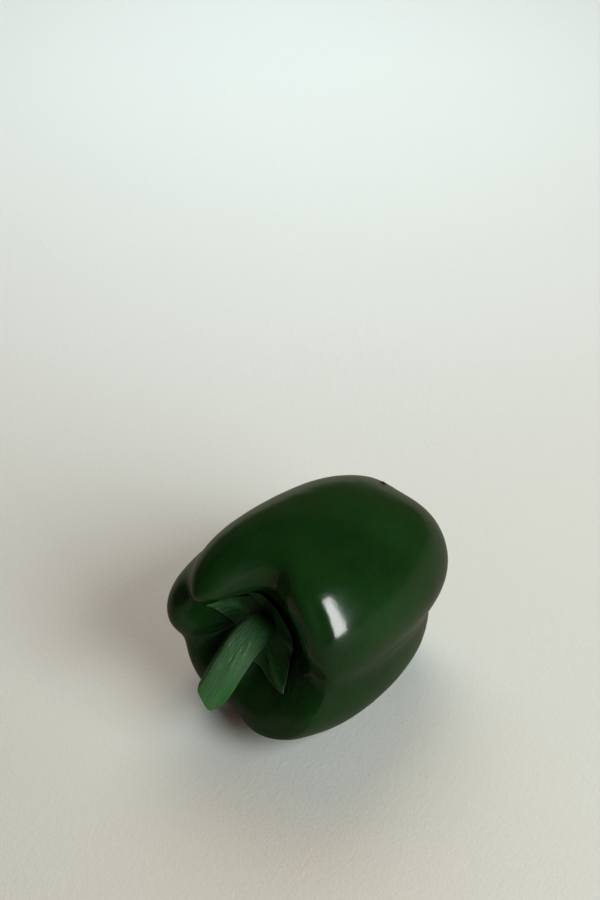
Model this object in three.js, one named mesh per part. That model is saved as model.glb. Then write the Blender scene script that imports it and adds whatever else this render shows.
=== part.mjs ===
// A large green bell pepper lying on its side.
// Three solids: the lobed fruit, the star-shaped calyx in its stem-end cavity, and the bent stem.
// Lengths are in millimetres and angles in degrees.

import * as THREE from 'three';

const { abs, atan2, cos, exp, hypot, log, max, min, PI, sin, sqrt } = Math;
const rad = (degrees) => (degrees * PI) / 180;

// Fruit: it is drawn with its axis along X, the stem end towards -X, then tipped and set down.
// Angles round the axis run from +Y towards +Z.
const BLOSSOM_END_DIP = 10;
const REST_CUT = 1.3;
const WIDEST_RADIUS = 43.5;
const LOBE_SWELL = 0.42;
const LOBE_BLEND = 0.45;
const LOBE_TWIST = 1;
const FRUIT_RINGS = 46;
const FRUIT_SIDES = 64;

// Each lobe: its angle, how far it bulges, and how far its shoulder and its blossom end reach out.
const LOBES = [
  { angle: 148, radius: 44, swell: 0.75, shoulder: -1.6, blossom: -2, crest: 2 },
  { angle: 89, radius: 39.3, swell: 0.45, shoulder: 14.2, blossom: 0.4, crest: -5.5 },
  { angle: 352, radius: 40, swell: 1.3, shoulder: 6.5, blossom: 0, crest: -1.4 },
  { angle: 298, radius: 44.4, swell: 1.6, shoulder: -3, blossom: 1.4, crest: 0 },
  { angle: 233, radius: 46, swell: 1.25, shoulder: -0.3, blossom: -4.8, crest: 4.5 },
];

// Each crease: the two lobes it parts, its notch in the shoulder, its groove along the side.
const CREASES = [
  { between: [1, 0], notch: 12.4, groove: 0, width: 21 },
  { between: [0, 4], notch: 6, groove: 1.2, width: 18 },
  { between: [4, 3], notch: 2, groove: 0.4, width: 15 },
  { between: [3, 2], notch: 2.2, groove: 0.5, width: 15 },
  { between: [2, 1], notch: 5.5, groove: 0.4, width: 15 },
];

// Ridge line of a lobe, from the middle of the cavity over the shoulder to the blossom end.
// It is the control cage of a smooth curve: r from the axis, x along it.
// lobed says how strongly the lobes show there, and the rest how much the lobes' own reaches count.
const RIDGE = [
  { r: 0, x: -26, lobed: 0, sag: 0, shoulder: 0, blossom: 0 },
  { r: 8, x: -26, lobed: 0, sag: 0, shoulder: 0, blossom: 0 },
  { r: 14, x: -29, lobed: -0.35, sag: 0, shoulder: 0.1, blossom: 0 },
  { r: 18.5, x: -37, lobed: -0.3, sag: 0, shoulder: 0.5, blossom: 0 },
  { r: 24, x: -44.8, lobed: 0, sag: 0.5, shoulder: 0.9, blossom: 0 },
  { r: 33, x: -47.2, lobed: 0.3, sag: 0.5, shoulder: 1, blossom: 0 },
  { r: 40.6, x: -38.5, lobed: 0.44, sag: 0, shoulder: 0.7, blossom: 0 },
  { r: 45, x: -23.3, lobed: 0.47, sag: 0, shoulder: 0.2, blossom: 0 },
  { r: 45.2, x: -4.8, lobed: 0.46, sag: 0, shoulder: 0, blossom: 0 },
  { r: 43.3, x: 15.8, lobed: 0.48, sag: 0, shoulder: 0, blossom: 0.2 },
  { r: 39.1, x: 32.8, lobed: 0.57, sag: -1, shoulder: 0, blossom: 0.6 },
  { r: 30.4, x: 47.3, lobed: 0.55, sag: -3, shoulder: 0, blossom: 1 },
  { r: 18, x: 52, lobed: 0.6, sag: -4, shoulder: 0, blossom: 1 },
  { r: 7, x: 47, lobed: 0.2, sag: -1, shoulder: 0, blossom: 0.5 },
  { r: 0, x: 45.5, lobed: 0, sag: 0, shoulder: 0, blossom: 0.3 },
];

// Calyx: a green disc with five pointed sepals, draped over the floor and walls of the cavity.
// Its middle, where the stem stands, lies a little off the fruit's axis: its place in Y and Z.
const CALYX_MIDDLE = [1.7, -3.2];
const CALYX_RADIUS = 8.3;
const CALYX_CLEARANCE = 0.8;
const CALYX_THICKNESS = 1.2;
const CALYX_THICKENING = 0.04;
const CALYX_FLOOR_X = -27.3;
const CALYX_CUPPING = 0.012;
const CALYX_DRAPE = 1.2;
const KEEL_HEIGHT = 0.8;
const KEEL_WIDTH = 1.5;
const CALYX_SIDES = 90;
const CALYX_FIRST_SIDE = 2;
const CALYX_RINGS = [0.3, 0.5, 0.66, 0.79, 0.9, 1];

// Each sepal: its tip's angle, how far the tip stands past the disc, the width of its two flanks,
// and the slant of its keel in degrees per millimetre.
const SEPALS = [
  { angle: 28, reach: 8.7, before: 30, after: 17, slant: -1 },
  { angle: 70, reach: 7.5, before: 14, after: 18, slant: 0 },
  { angle: 188, reach: 5.5, before: 30, after: 20, slant: 0 },
  { angle: 214, reach: 14.5, before: 12, after: 50, slant: 2.6 },
  { angle: 305, reach: 4.5, before: 25, after: 20, slant: 0 },
];

// Stem: a thick ribbed stalk that leaves the calyx along the axis and bends down.
const STEM_PATH = [
  [-30.6, 2.3, -4],
  [-41, 2.4, -1.6],
  [-48.4, 0.7, -9.4],
  [-54.4, 3.3, -19.8],
];
const STEM_BASE_RADIUS = 4.6;
const STEM_RADIUS = 6.3;
const STEM_END_RADIUS = 6.1;
const STEM_RIB_DEPTH = 0.35;
const STEM_RIBS = 5;
const STEM_CUT_SLANT = 5.4;
const STEM_CUT_ANGLE = 220;
const STEM_CUT_HOLLOW = 0.8;
const STEM_SIDES = 30;
const STEM_RINGS = 16;

// Uniform cubic curve through the cage, mirrored at both ends so that it meets the axis squarely.
function ridgeAt(u) {
  const spans = RIDGE.length - 1;
  const place = min(max(u, 0), 1) * spans;
  const first = min(Math.floor(place), spans - 1);
  const s = place - first;
  const weights = [
    (1 - s) ** 3 / 6,
    (3 * s ** 3 - 6 * s ** 2 + 4) / 6,
    (-3 * s ** 3 + 3 * s ** 2 + 3 * s + 1) / 6,
    s ** 3 / 6,
  ];
  const sum = { r: 0, x: 0, lobed: 0, sag: 0, shoulder: 0, blossom: 0 };
  weights.forEach((weight, i) => {
    const index = first - 1 + i;
    const mirrored = index < 0 || index > spans;
    const row = RIDGE[index < 0 ? 1 : index > spans ? spans - 1 : index];
    for (const key of Object.keys(sum)) {
      sum[key] += weight * (mirrored && key === 'r' ? -row.r : row[key]);
    }
  });
  return sum;
}

// Signed difference between two angles, from -180 to 180.
function turn(from, to) {
  return ((((from - to + 180) % 360) + 360) % 360) - 180;
}

// Section of one lobe: a circle whose centre is moved off the axis, 1 on its ridge.
function lobeSection(difference, swell) {
  const k = min(max(swell, -0.9), 0.9);
  const a = rad(difference);
  return (k * cos(a) + sqrt(1 - (k * sin(a)) ** 2)) / (1 + k);
}

function lobeReach(lobe, angle) {
  return lobe.radius * lobeSection(turn(angle, lobe.angle), LOBE_SWELL * lobe.swell);
}

// Angle at which two neighbouring lobes reach equally far.
function creaseAngle([before, after]) {
  let low = LOBES[before].angle;
  let high = low + ((turn(LOBES[after].angle, low) + 360) % 360);
  for (let step = 0; step < 30; step += 1) {
    const middle = (low + high) / 2;
    if (lobeReach(LOBES[before], middle) > lobeReach(LOBES[after], middle)) low = middle;
    else high = middle;
  }
  return (low + high) / 2;
}
const CREASE_ANGLES = CREASES.map((crease) => creaseAngle(crease.between));

// How strongly a crease cuts the shoulder, and how strongly it runs along the side.
function notchStrength(r, x) {
  return exp(-(((r - 30) / 12) ** 2)) / (1 + exp((x + 24) / 4.5));
}
function grooveStrength(r, x) {
  return 1 / (1 + exp(-(r - 26) / 4)) / (1 + exp((-x - 44) / 6));
}

// Point of the fruit's skin: u runs along the ridge, angle round the axis. Gives [x, radius].
function skinAt(u, angle) {
  const ridge = ridgeAt(u);
  const turned = angle + (LOBE_TWIST * ridge.x) / 50;
  const reaches = LOBES.map((lobe) => lobeReach(lobe, turned));
  const furthest = max(...reaches);
  let share = 0;
  let r = 0;
  let x = 0;
  LOBES.forEach((lobe, i) => {
    const weight = exp(LOBE_BLEND * (reaches[i] - furthest));
    const off = turn(turned, lobe.angle);
    const size = 1 + (lobe.radius / WIDEST_RADIUS - 1) * min(ridge.r / 30, 1);
    const crest = lobe.crest * ridge.shoulder * (1 - min(max((ridge.r - 34) / 10, 0), 1));
    const sag = (1 - cos(min(rad(abs(off)), 1.3))) / (1 - cos(rad(45)));
    share += weight;
    r += weight * (ridge.r * lobeSection(off, ridge.lobed * lobe.swell) * size + crest);
    x += weight * (ridge.x + ridge.sag * sag - lobe.shoulder * ridge.shoulder + lobe.blossom * ridge.blossom);
  });
  r /= share;
  x /= share;
  CREASES.forEach((crease, i) => {
    const closeness = exp(-((turn(turned, CREASE_ANGLES[i]) / crease.width) ** 2));
    x += crease.notch * closeness * notchStrength(ridge.r, ridge.x);
    r -= crease.groove * closeness * grooveStrength(ridge.r, ridge.x);
  });
  return [x, r];
}

// Depth of the cavity at a distance from the axis, found by halving along the ridge line.
function cavityX(r, angle) {
  let low = 0;
  let high = 5.5 / (RIDGE.length - 1);
  for (let step = 0; step < 24; step += 1) {
    const middle = (low + high) / 2;
    if (skinAt(middle, angle)[1] < r) low = middle;
    else high = middle;
  }
  return skinAt((low + high) / 2, angle)[0];
}

function cavityAt(y, z) {
  return cavityX(hypot(y, z), (atan2(z, y) * 180) / PI);
}

// Solid wrapped round rings of points. The first and last rings close on a point each.
function wrap(firstPoint, rings, lastPoint) {
  const sides = rings[0].length;
  const positions = [firstPoint, ...rings.flat(), lastPoint].flat();
  const last = positions.length / 3 - 1;
  const faces = [];
  for (let j = 0; j < sides; j += 1) {
    const next = (j + 1) % sides;
    faces.push(0, 1 + next, 1 + j);
    for (let i = 0; i + 1 < rings.length; i += 1) {
      const a = 1 + i * sides + j;
      const b = 1 + i * sides + next;
      faces.push(a, b, b + sides, a, b + sides, a + sides);
    }
    const foot = 1 + (rings.length - 1) * sides;
    faces.push(last, foot + j, foot + next);
  }
  const geometry = new THREE.BufferGeometry();
  geometry.setAttribute('position', new THREE.Float32BufferAttribute(positions, 3));
  geometry.setIndex(faces);
  return geometry;
}

// From the axis frame of the fruit to the frame in which it lies.
function tipped([x, y, z]) {
  const dip = rad(BLOSSOM_END_DIP);
  return [cos(dip) * x + sin(dip) * z, y, -sin(dip) * x + cos(dip) * z];
}

function polar(x, r, angle) {
  return [x, r * cos(rad(angle)), r * sin(rad(angle))];
}

function fruitRings() {
  const rings = [];
  for (let i = 1; i < FRUIT_RINGS; i += 1) {
    const ring = [];
    for (let j = 0; j < FRUIT_SIDES; j += 1) {
      const angle = (360 * j) / FRUIT_SIDES;
      const [x, r] = skinAt(i / FRUIT_RINGS, angle);
      ring.push(tipped(polar(x, r, angle)));
    }
    rings.push(ring);
  }
  return rings;
}

// Outline of the calyx: sepals with sharp tips and hollow flanks.
function calyxRadius(angle) {
  let r = CALYX_RADIUS;
  for (const sepal of SEPALS) {
    const off = turn(angle, sepal.angle);
    const flank = off < 0 ? sepal.before : sepal.after;
    r += sepal.reach * exp(-abs(off) / flank);
  }
  return r;
}

function keelHeight(r, angle) {
  let height = 0;
  for (const sepal of SEPALS) {
    const tip = calyxRadius(sepal.angle);
    const off = turn(angle, sepal.angle + sepal.slant * (tip - r));
    height += KEEL_HEIGHT * exp(-(((rad(off) * r) / KEEL_WIDTH) ** 2));
  }
  return height * min(max((r - 6) / 5, 0), 1);
}

// Upper and under point of the calyx at one place round its own middle.
function calyxPoints(r, angle) {
  const y = CALYX_MIDDLE[0] + r * cos(rad(angle));
  const z = CALYX_MIDDLE[1] + r * sin(rad(angle));
  const thickness = CALYX_THICKNESS + CALYX_THICKENING * r;
  const cup = CALYX_FLOOR_X - CALYX_CUPPING * r * r;
  const slopeY = cavityAt(y + 0.5, z) - cavityAt(y - 0.5, z);
  const slopeZ = cavityAt(y, z + 0.5) - cavityAt(y, z - 0.5);
  const wall = cavityAt(y, z) - CALYX_CLEARANCE * hypot(1, slopeY, slopeZ) - thickness;
  const lower = min(cup, wall);
  const spread = exp(-CALYX_DRAPE * (cup - lower)) + exp(-CALYX_DRAPE * (wall - lower));
  const top = lower - log(spread) / CALYX_DRAPE;
  return [tipped([top - keelHeight(r, angle), y, z]), tipped([top + thickness, y, z])];
}

function calyxGeometry() {
  const above = [];
  const below = [];
  for (const fraction of CALYX_RINGS) {
    const upper = [];
    const under = [];
    for (let j = 0; j < CALYX_SIDES; j += 1) {
      const angle = CALYX_FIRST_SIDE + (360 * j) / CALYX_SIDES;
      const [over, beneath] = calyxPoints(fraction * calyxRadius(angle), angle);
      upper.push(over);
      under.push(beneath);
    }
    above.push(upper);
    below.unshift(under);
  }
  const [over, beneath] = calyxPoints(0, 0);
  return wrap(over, [...above, ...below], beneath);
}

// Distance from the stem's middle line to its skin, t along it and angle round it.
function stemRadius(t, angle) {
  const flare = STEM_BASE_RADIUS + (STEM_RADIUS - STEM_BASE_RADIUS) * min(t / 0.2, 1);
  const widening = (STEM_END_RADIUS - STEM_RADIUS) * t ** 3;
  return flare + widening + STEM_RIB_DEPTH * cos(rad(STEM_RIBS * angle)) * min(t / 0.3, 1);
}

function stemGeometry() {
  const path = new THREE.CubicBezierCurve3(...STEM_PATH.map((p) => new THREE.Vector3(...p)));
  const across = new THREE.Vector3(0, 1, 0);
  const rings = [];
  for (let i = 0; i <= STEM_RINGS; i += 1) {
    const t = i / STEM_RINGS;
    const centre = path.getPoint(t);
    const ahead = path.getTangent(t);
    const side = across.clone().addScaledVector(ahead, -across.dot(ahead)).normalize();
    const up = new THREE.Vector3().crossVectors(ahead, side);
    const ring = [];
    for (let j = 0; j < STEM_SIDES; j += 1) {
      const angle = (360 * j) / STEM_SIDES;
      const r = stemRadius(t, angle);
      const slant = STEM_CUT_SLANT * t ** 4 * cos(rad(angle - STEM_CUT_ANGLE));
      const point = centre.clone();
      point.addScaledVector(side, r * cos(rad(angle)));
      point.addScaledVector(up, r * sin(rad(angle)));
      point.addScaledVector(ahead, slant);
      ring.push(tipped(point.toArray()));
    }
    rings.push(ring);
  }
  const cutMiddle = path.getPoint(1).addScaledVector(path.getTangent(1), -STEM_CUT_HOLLOW);
  return wrap(tipped(STEM_PATH[0]), rings, tipped(cutMiddle.toArray()));
}

// The fruit lies on its two lower lobes, whose lowest skin is pressed flat.
function fruitGeometry(lift) {
  const settle = ([x, y, z]) => [x, y, max(z, -lift)];
  const rings = fruitRings().map((ring) => ring.map(settle));
  const [floorX] = skinAt(0, 0);
  const [tipX] = skinAt(1, 0);
  return wrap(tipped([floorX, 0, 0]), rings, tipped([tipX, 0, 0]));
}

function makePiece(name, geometry, material) {
  geometry.computeVertexNormals();
  const mesh = new THREE.Mesh(geometry, material);
  mesh.name = name;
  return mesh;
}

const skinGreen = new THREE.MeshStandardMaterial({ color: '#2b4a1f', roughness: 0.22, metalness: 0 });
const calyxGreen = new THREE.MeshStandardMaterial({ color: '#2f5222', roughness: 0.5, metalness: 0 });
const stemGreen = new THREE.MeshStandardMaterial({ color: '#3f7038', roughness: 0.45, metalness: 0 });

const lowest = min(...fruitRings().flat().map((point) => point[2]));
const lift = -(lowest + REST_CUT);

const pepper = new THREE.Group();
pepper.add(makePiece('fruit', fruitGeometry(lift), skinGreen));
pepper.add(makePiece('calyx', calyxGeometry(), calyxGreen));
pepper.add(makePiece('stem', stemGeometry(), stemGreen));

// The origin is under the middle of the whole pepper, on the surface it lies on.
const box = new THREE.Box3().setFromObject(pepper);
pepper.position.set(-(box.min.x + box.max.x) / 2, -(box.min.y + box.max.y) / 2, lift);

export default pepper;
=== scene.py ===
"""A large green bell pepper lying on its side: lobed fruit, star-shaped calyx and bent stem."""

from math import cos, e, radians, sin

import bpy
from mathutils import Matrix, Vector


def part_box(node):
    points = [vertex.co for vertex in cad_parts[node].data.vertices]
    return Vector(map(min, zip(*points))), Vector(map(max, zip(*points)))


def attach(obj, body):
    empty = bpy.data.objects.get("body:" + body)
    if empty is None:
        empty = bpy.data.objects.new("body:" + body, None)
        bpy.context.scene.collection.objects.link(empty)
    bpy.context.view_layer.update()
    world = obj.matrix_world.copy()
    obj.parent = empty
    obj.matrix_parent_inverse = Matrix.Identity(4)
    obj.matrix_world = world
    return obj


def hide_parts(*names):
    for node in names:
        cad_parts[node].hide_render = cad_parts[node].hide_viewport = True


bl_info = {
    "name": "Bell Pepper",
    "version": (1, 0, 0),
    "blender": (4, 5, 0),
    "location": "3D View > Sidebar > Pepper",
    "description": "Makes a bell pepper with its calyx and stem, and the plain studio it lies in",
    "category": "Object",
}

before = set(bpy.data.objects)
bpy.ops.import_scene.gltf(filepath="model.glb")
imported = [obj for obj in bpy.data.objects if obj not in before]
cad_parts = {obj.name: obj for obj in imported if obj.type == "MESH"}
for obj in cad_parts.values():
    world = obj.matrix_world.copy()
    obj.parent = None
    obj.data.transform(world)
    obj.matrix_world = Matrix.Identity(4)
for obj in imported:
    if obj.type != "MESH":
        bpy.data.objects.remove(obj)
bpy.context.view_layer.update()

MM = 0.001

# Fruit. It is shaped with its axis along X and its stem end towards -X, then tipped and set down.
# Angles round the axis are in degrees, from +Y towards +Z.
BLOSSOM_END_DIP = 10
REST_CUT = 1.3 * MM
WIDEST_RADIUS = 43.5
LOBE_SWELL = 0.42
LOBE_BLEND = 0.45
LOBE_TWIST = 1
LOBE_TWIST_LENGTH = 50
HALF_LOBE = 45
WIDEST_SAG = 1.3
LOBES_FULL_RADIUS = 30
CREST_RADIUS = 34
CREST_FADE = 10
FRUIT_RINGS = 240
FRUIT_SIDES = 360

# Each lobe: its angle, how far it bulges, and how far its shoulder and blossom end reach out, in mm.
LOBES = (
    dict(angle=148, radius=44, swell=0.75, shoulder=-1.6, blossom=-2, crest=2),
    dict(angle=89, radius=39.3, swell=0.45, shoulder=14.2, blossom=0.4, crest=-5.5),
    dict(angle=352, radius=40, swell=1.3, shoulder=6.5, blossom=0, crest=-1.4),
    dict(angle=298, radius=44.4, swell=1.6, shoulder=-3, blossom=1.4, crest=0),
    dict(angle=233, radius=46, swell=1.25, shoulder=-0.3, blossom=-4.8, crest=4.5),
)

# Each crease: the two lobes it parts, its notch in the shoulder and its groove along the side, in mm.
CREASES = (
    dict(between=(1, 0), notch=12.4, groove=0, width=21),
    dict(between=(0, 4), notch=6, groove=1.2, width=18),
    dict(between=(4, 3), notch=2, groove=0.4, width=15),
    dict(between=(3, 2), notch=2.2, groove=0.5, width=15),
    dict(between=(2, 1), notch=5.5, groove=0.4, width=15),
)

# Ridge line of a lobe, from the middle of the cavity over the shoulder to the blossom end, in mm:
# distance from the axis, place along it, how strongly the lobes show there, and the share of
# the sag between lobes and of each lobe's own shoulder and blossom end.
RIDGE = (
    dict(r=0, x=-26, lobed=0, sag=0, shoulder=0, blossom=0),
    dict(r=8, x=-26, lobed=0, sag=0, shoulder=0, blossom=0),
    dict(r=14, x=-29, lobed=-0.35, sag=0, shoulder=0.1, blossom=0),
    dict(r=18.5, x=-37, lobed=-0.3, sag=0, shoulder=0.5, blossom=0),
    dict(r=24, x=-44.8, lobed=0, sag=0.5, shoulder=0.9, blossom=0),
    dict(r=33, x=-47.2, lobed=0.3, sag=0.5, shoulder=1, blossom=0),
    dict(r=40.6, x=-38.5, lobed=0.44, sag=0, shoulder=0.7, blossom=0),
    dict(r=45, x=-23.3, lobed=0.47, sag=0, shoulder=0.2, blossom=0),
    dict(r=45.2, x=-4.8, lobed=0.46, sag=0, shoulder=0, blossom=0),
    dict(r=43.3, x=15.8, lobed=0.48, sag=0, shoulder=0, blossom=0.2),
    dict(r=39.1, x=32.8, lobed=0.57, sag=-1, shoulder=0, blossom=0.6),
    dict(r=30.4, x=47.3, lobed=0.55, sag=-3, shoulder=0, blossom=1),
    dict(r=18, x=52, lobed=0.6, sag=-4, shoulder=0, blossom=1),
    dict(r=7, x=47, lobed=0.2, sag=-1, shoulder=0, blossom=0.5),
    dict(r=0, x=45.5, lobed=0, sag=0, shoulder=0, blossom=0.3),
)

# Where a crease cuts, by the ridge line's own distance and place, in mm. Its notch is deepest at the
# crest of the shoulder and ends before the side. Its groove starts outside the cavity.
NOTCH_RADIUS = 30
NOTCH_WIDTH = 12
NOTCH_END = -24
NOTCH_FADE = 4.5
GROOVE_RADIUS = 26
GROOVE_RADIUS_FADE = 4
GROOVE_START = -44
GROOVE_START_FADE = 6

# A shallow fold inside the shoulder of the first lobe, in mm and degrees.
FOLD = dict(angle=143, spread=17, radius=36.7, width=1.7, depth=0.9, inner=3.4, lip=0.45, end=-30, fade=8)

# Gentle unevenness of the skin: its noise scale for each mm, and the radius from which it is full.
UNDULATION_SCALE = 0.045
UNDULATION_RADIUS = 20
SKIN_FIBRE_STRETCH = 0.5

# A dry brown spot on the skin, in the fruit's own frame, in mm.
SPOT_PLACE = (35.5, -1, 31.9)
SPOT_RADIUS = 1.1
SPOT_HEIGHT = 0.9

# Calyx: a green disc with five pointed sepals, draped over the floor and walls of the cavity, in mm.
# Its middle, where the stem stands, lies a little off the fruit's axis: its place in Y and Z.
CALYX_MIDDLE = (1.7, -3.2)
CALYX_RADIUS = 8.3
CALYX_CLEARANCE = 0.35
CALYX_THICKNESS = 0.9
CALYX_FLOOR_X = -27
CALYX_CUPPING = 0.012
CALYX_DRAPE = 1.2
CALYX_GAP = 0.15
CALYX_GROWTH = 0.02
CALYX_EDGE_POWER = 10
FLATTEST_WALL = 0.35
CALYX_RAY_START = -70
CALYX_RAY_LENGTH = 100
KEEL_HEIGHT = 0.8
KEEL_WIDTH = 1.2
KEEL_START = 6
KEEL_FADE = 5
VEIN_HEIGHT = 0.1
VEIN = dict(slope=1.1, spacing=1.3, width=0.35, spread=6)
RIPPLE = dict(broad_scale=0.16, broad=0.9, fine_scale=0.5, fine=0.15, share=0.5)
LEAF_FIBRE_STRETCH = 0.03
CALYX_RINGS = 111
CALYX_SIDES = 480

# Each sepal: its tip's angle, how far the tip stands past the disc in mm, the width of its two
# flanks in degrees, and the slant of its keel in degrees for each mm.
SEPALS = (
    dict(angle=28, reach=8.7, before=30, after=17, slant=-1),
    dict(angle=70, reach=7.5, before=14, after=18, slant=0),
    dict(angle=188, reach=5.5, before=30, after=20, slant=0),
    dict(angle=214, reach=14.5, before=12, after=50, slant=2.6),
    dict(angle=305, reach=4.5, before=25, after=20, slant=0),
)

# Stem: a thick ribbed stalk that leaves the calyx along the axis and bends down, in mm.
STEM_PATH = ((-27.6, 2.2, -4), (-41, 2.4, -1.6), (-48.4, 0.7, -9.4), (-53.9, 3.2, -19))
STEM_BASE_RADIUS = 5
STEM_RADIUS = 6.3
STEM_END_RADIUS = 6.1
STEM_RIB_DEPTH = 0.35
STEM_RIBS = 5
STEM_CUT_SLANT = 5.4
STEM_CUT_ANGLE = 220
STEM_SLANT_POWER = 4
STEM_CUT_START = 0.94
STEM_CUT_ROUNDING = 2.4
STEM_CUT_BULGE = 0.7
STEM_DENT_WIDTH = 3.2
STEM_DENT_DEPTH = 1.2
STEM_FLARE_END = 0.2
STEM_RIB_START = 0.3
STEM_GRAIN = dict(spread=6, scale=1.1, height=0.12)
STEM_FIBRE_STRETCH = 0.9
FIBRE_SPREAD = 2
STEM_RINGS = 160
STEM_SIDES = 160

# How strongly each effect tints a material, from 0 to 1, and what it adds to the roughness.
# The skin's crease tint is painted shade: it darkens the skin towards its deepest green along the creases.
SKIN_TINT = dict(olive=0.6, streaks=0.22, crease=0.3, pores=0.16)
SKIN_ROUGHNESS = dict(plain=0.15, clouds=0.05, streaks=0.03, dull=0.4)
CALYX_TINT = dict(streaks=0.35, keel=0.55, vein=0.3, most=0.7, edge=0.45)
CALYX_ROUGHNESS = dict(plain=0.36, clouds=0.12, edge=0.2)
STEM_TINT = dict(fine=0.25, length=0.55, pores=0.3, cut=0.85)
STEM_ROUGHNESS = dict(plain=0.27, streaks=0.1, cut=0.3)
SKIN_IOR = 1.42
SCAR_SIZE = 0.012
SPOT_GAIN = 1.6
CALYX_EDGE_START = 0.955
CALYX_EDGE_GAIN = 25

# Depth of the fine relief of each material.
SKIN_RELIEF = 0.03 * MM
LEAF_RELIEF = 0.08 * MM
PAPER_RELIEF = 0.15 * MM

# Floor: flat out to a radius, then bent up into a wall, in m.
FLOOR_FLAT = 1.6
FLOOR_BEND = 0.8
FLOOR_WALL_TOP = 1.3
FLOOR_SIDES = 96
FLOOR_RINGS = 8
FLOOR_BEND_STEP = 6
PALER_PAPER = 1.025
PAPER_ROUGHNESS = 0.9
PAPER_SHINE = 0.2

# How much of the floor's red, green and blue the glossy skin mirrors: for glossy rays only, the floor is
# painted darker and browner, as painted shade of a dim room.
MIRRORED_FLOOR = (0.3, 0.27, 0.23)

# Lights. The window and the glint stand in a direction from the fruit, azimuth and elevation in
# degrees. The other two hang over a place on the far floor. Distances and sizes are in m.
WINDOW = dict(direction=(-97, 35), distance=1, size=(0.6, 0.6), colour=(0.86, 1.0, 1.0))
GLINT = dict(direction=(-98, 27), distance=0.9, size=(0.31, 0.78), colour=(1, 1, 1))
FAR_FLOOR = (0.45, 0.37, 0)
BACK_LIGHT = dict(height=0.5, size=(0.6, 0.6), colour=(0.52, 0.82, 1.0))
WARM_LIGHT = dict(height=0.95, size=(0.7, 0.7), colour=(1.0, 0.49, 0.02))
AIR_COLOUR = (1.0, 0.36, 0.2, 1)

# Camera, set from the photograph's 600 by 900 frame.
CAMERA_AZIMUTH = -52.2
CAMERA_ELEVATION = 38
CAMERA_DISTANCE = 0.6556
CAMERA_LENS = 70
FRAME_SIZE_PX = (600, 900)
FRUIT_MIDDLE_PX = (316.5, 588.2)
SENSOR_SIZE = 36
NEAREST_SEEN = 0.01


class Field:
    """A value that varies over a surface or a material, written as sums and kept as nodes."""

    def __init__(self, tree, socket):
        self.tree = tree
        self.socket = socket

    def __add__(self, other):
        return reckon("ADD", self, other)

    def __sub__(self, other):
        return reckon("SUBTRACT", self, other)

    def __rsub__(self, other):
        return reckon("SUBTRACT", other, self)

    def __mul__(self, other):
        return reckon("MULTIPLY", self, other)

    def __truediv__(self, other):
        return reckon("DIVIDE", self, other)

    def __rtruediv__(self, other):
        return reckon("DIVIDE", other, self)

    def __neg__(self):
        return reckon("MULTIPLY", self, -1)

    def __abs__(self):
        return reckon("ABSOLUTE", self)

    __radd__ = __add__
    __rmul__ = __mul__


def plug(tree, socket, value):
    """Links a field or socket into an input, or sets the input to a plain value."""
    if isinstance(value, Field):
        value = value.socket
    if isinstance(value, bpy.types.NodeSocket):
        tree.links.new(value, socket)
    else:
        socket.default_value = value


def reckon(operation, *values):
    """One step of arithmetic as a Math node."""
    tree = next(value.tree for value in values if isinstance(value, Field))
    node = tree.nodes.new("ShaderNodeMath")
    node.operation = operation
    for socket, value in zip(node.inputs, values):
        plug(tree, socket, value)
    return Field(tree, node.outputs[0])


def square(value):
    return value * value


def smaller(a, b):
    return reckon("MINIMUM", a, b)


def larger(a, b):
    return reckon("MAXIMUM", a, b)


def held(value, low, high):
    return smaller(larger(value, low), high)


def exponent(value):
    return reckon("EXPONENT", value)


def turn(angle, other):
    """Difference of two angles in degrees, from -180 to 180."""
    return reckon("WRAP", angle - other, 180, -180)


def bell(value, width):
    """1 where value is nought, falling smoothly to nought past the width."""
    return exponent(-square(value / width))


def cosine(degrees):
    return reckon("COSINE", reckon("RADIANS", degrees))


def sine(degrees):
    return reckon("SINE", reckon("RADIANS", degrees))


def open_input(node, key):
    """A node's input by name or number. Of several with one name, it is the one in use."""
    if isinstance(key, int):
        return node.inputs[key]
    return next(socket for socket in node.inputs if socket.name == key and socket.enabled)


def node_of(tree, kind, inputs=None, **settings):
    """A node with its settings and its inputs, by name or number."""
    node = tree.nodes.new(kind)
    for key, value in settings.items():
        setattr(node, key, value)
    for key, value in (inputs or {}).items():
        plug(tree, open_input(node, key), value)
    return node


def joined(tree, x, y, z):
    """A vector from its three parts."""
    return node_of(tree, "ShaderNodeCombineXYZ", {0: x, 1: y, 2: z}).outputs[0]


def vector_step(tree, operation, first, second):
    """One step of arithmetic on vectors. A scaling takes a plain factor as its second value."""
    key = "Scale" if operation == "SCALE" else 1
    return node_of(tree, "ShaderNodeVectorMath", {0: first, key: second}, operation=operation).outputs[0]


def attribute(tree, name):
    """A named attribute of the surface, as a field."""
    node = node_of(tree, "GeometryNodeInputNamedAttribute", {"Name": name}, data_type="FLOAT")
    return Field(tree, node.outputs["Attribute"])


def wave(tree, where, scale):
    """Smooth noise from -1 to 1 at a place, with a fixed pattern."""
    inputs = {"Vector": where, "Scale": scale, "Detail": 2.0, "Roughness": 0.5}
    noise = node_of(tree, "ShaderNodeTexNoise", inputs)
    return Field(tree, noise.outputs[0]) * 2 - 1


def shaping_tree(name, inputs):
    """A Geometry Nodes tree with named inputs. Gives the tree and its inputs as fields."""
    tree = bpy.data.node_groups.new(name, "GeometryNodeTree")
    tree.interface.new_socket("Geometry", in_out="INPUT", socket_type="NodeSocketGeometry")
    tree.interface.new_socket("Geometry", in_out="OUTPUT", socket_type="NodeSocketGeometry")
    for label, kind, default in inputs:
        socket = tree.interface.new_socket(label, in_out="INPUT", socket_type=kind)
        if default is not None:
            socket.default_value = default
    entry = tree.nodes.new("NodeGroupInput")
    given = {socket.name: Field(tree, socket) for socket in entry.outputs if socket.name}
    return tree, given


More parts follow.
